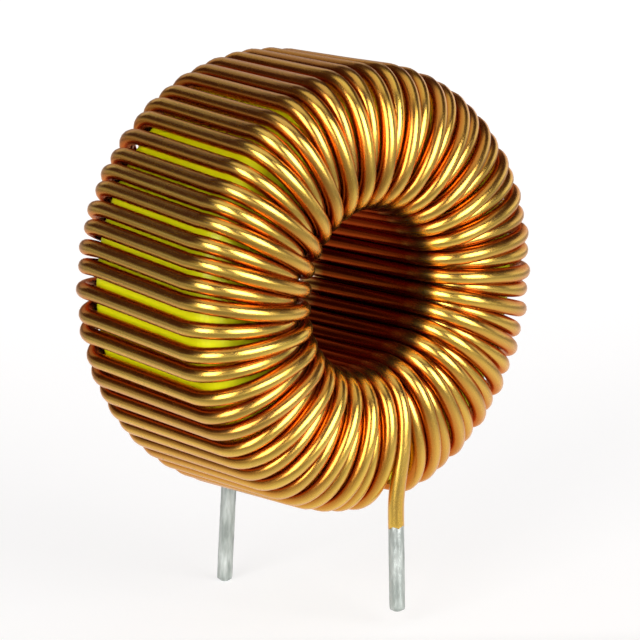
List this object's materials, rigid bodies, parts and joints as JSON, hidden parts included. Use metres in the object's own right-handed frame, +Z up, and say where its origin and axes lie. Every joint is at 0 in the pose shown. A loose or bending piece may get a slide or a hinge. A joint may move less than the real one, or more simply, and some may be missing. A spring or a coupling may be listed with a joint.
{
  "type": "differential mode choke",
  "caption": "Toroidal differential mode choke: a coated powder core ring wound with enamelled copper wire, with tinned leads for a circuit board.",
  "frame": {"origin": "on the face of the board that the choke sits on, under the middle of the ring and midway between the leads", "axes": "+Z up from the board, Y along the ring's axis with the front face towards -Y"},
  "size_m": [0.0288, 0.0173, 0.0364],
  "materials": {
    "core_coat": "bright yellow coating, semi-gloss",
    "enamelled_copper": "copper under clear glossy enamel",
    "tinned_copper": "dull solder dip"
  },
  "bodies": {
    "root": {"core": "core_coat", "winding": "enamelled_copper", "front_tinned_end": "tinned_copper", "rear_tinned_end": "tinned_copper"}
  },
  "joints": []
}
